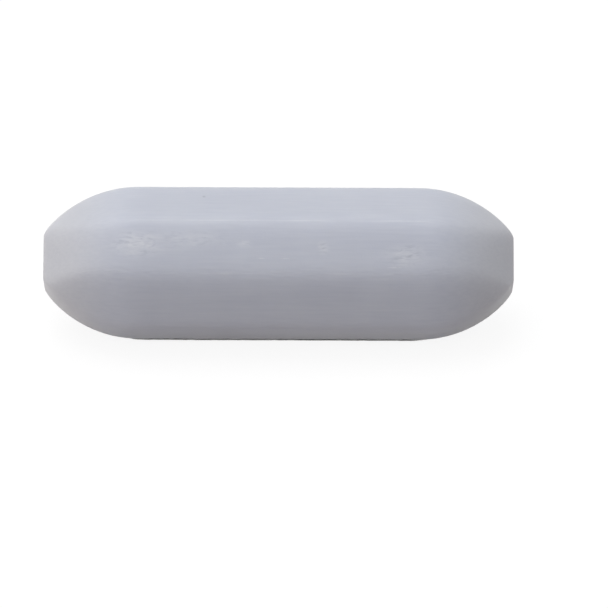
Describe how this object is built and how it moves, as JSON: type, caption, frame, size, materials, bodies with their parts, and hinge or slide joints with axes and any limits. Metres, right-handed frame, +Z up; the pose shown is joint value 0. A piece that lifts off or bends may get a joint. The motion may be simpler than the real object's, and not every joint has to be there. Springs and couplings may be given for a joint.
{
  "type": "magnetic stir bar",
  "caption": "White PTFE stir bar, octagonal in section, with ends that curve in to a small square and a magnet rod sealed inside; it spins in a vessel over a magnetic stirrer.",
  "frame": {"origin": "middle of the flat that the bar rests on, straight below the bar's centre", "axes": "+X along the bar, +Z up from the flat it rests on, which is the axis it spins about"},
  "size_m": [0.0222, 0.0068, 0.0069],
  "materials": {
    "ptfe": "moulded, waxy satin",
    "magnet_alloy": "cast and ground"
  },
  "bodies": {
    "root": {"jacket": "ptfe", "magnet_rod": "magnet_alloy"}
  },
  "joints": []
}
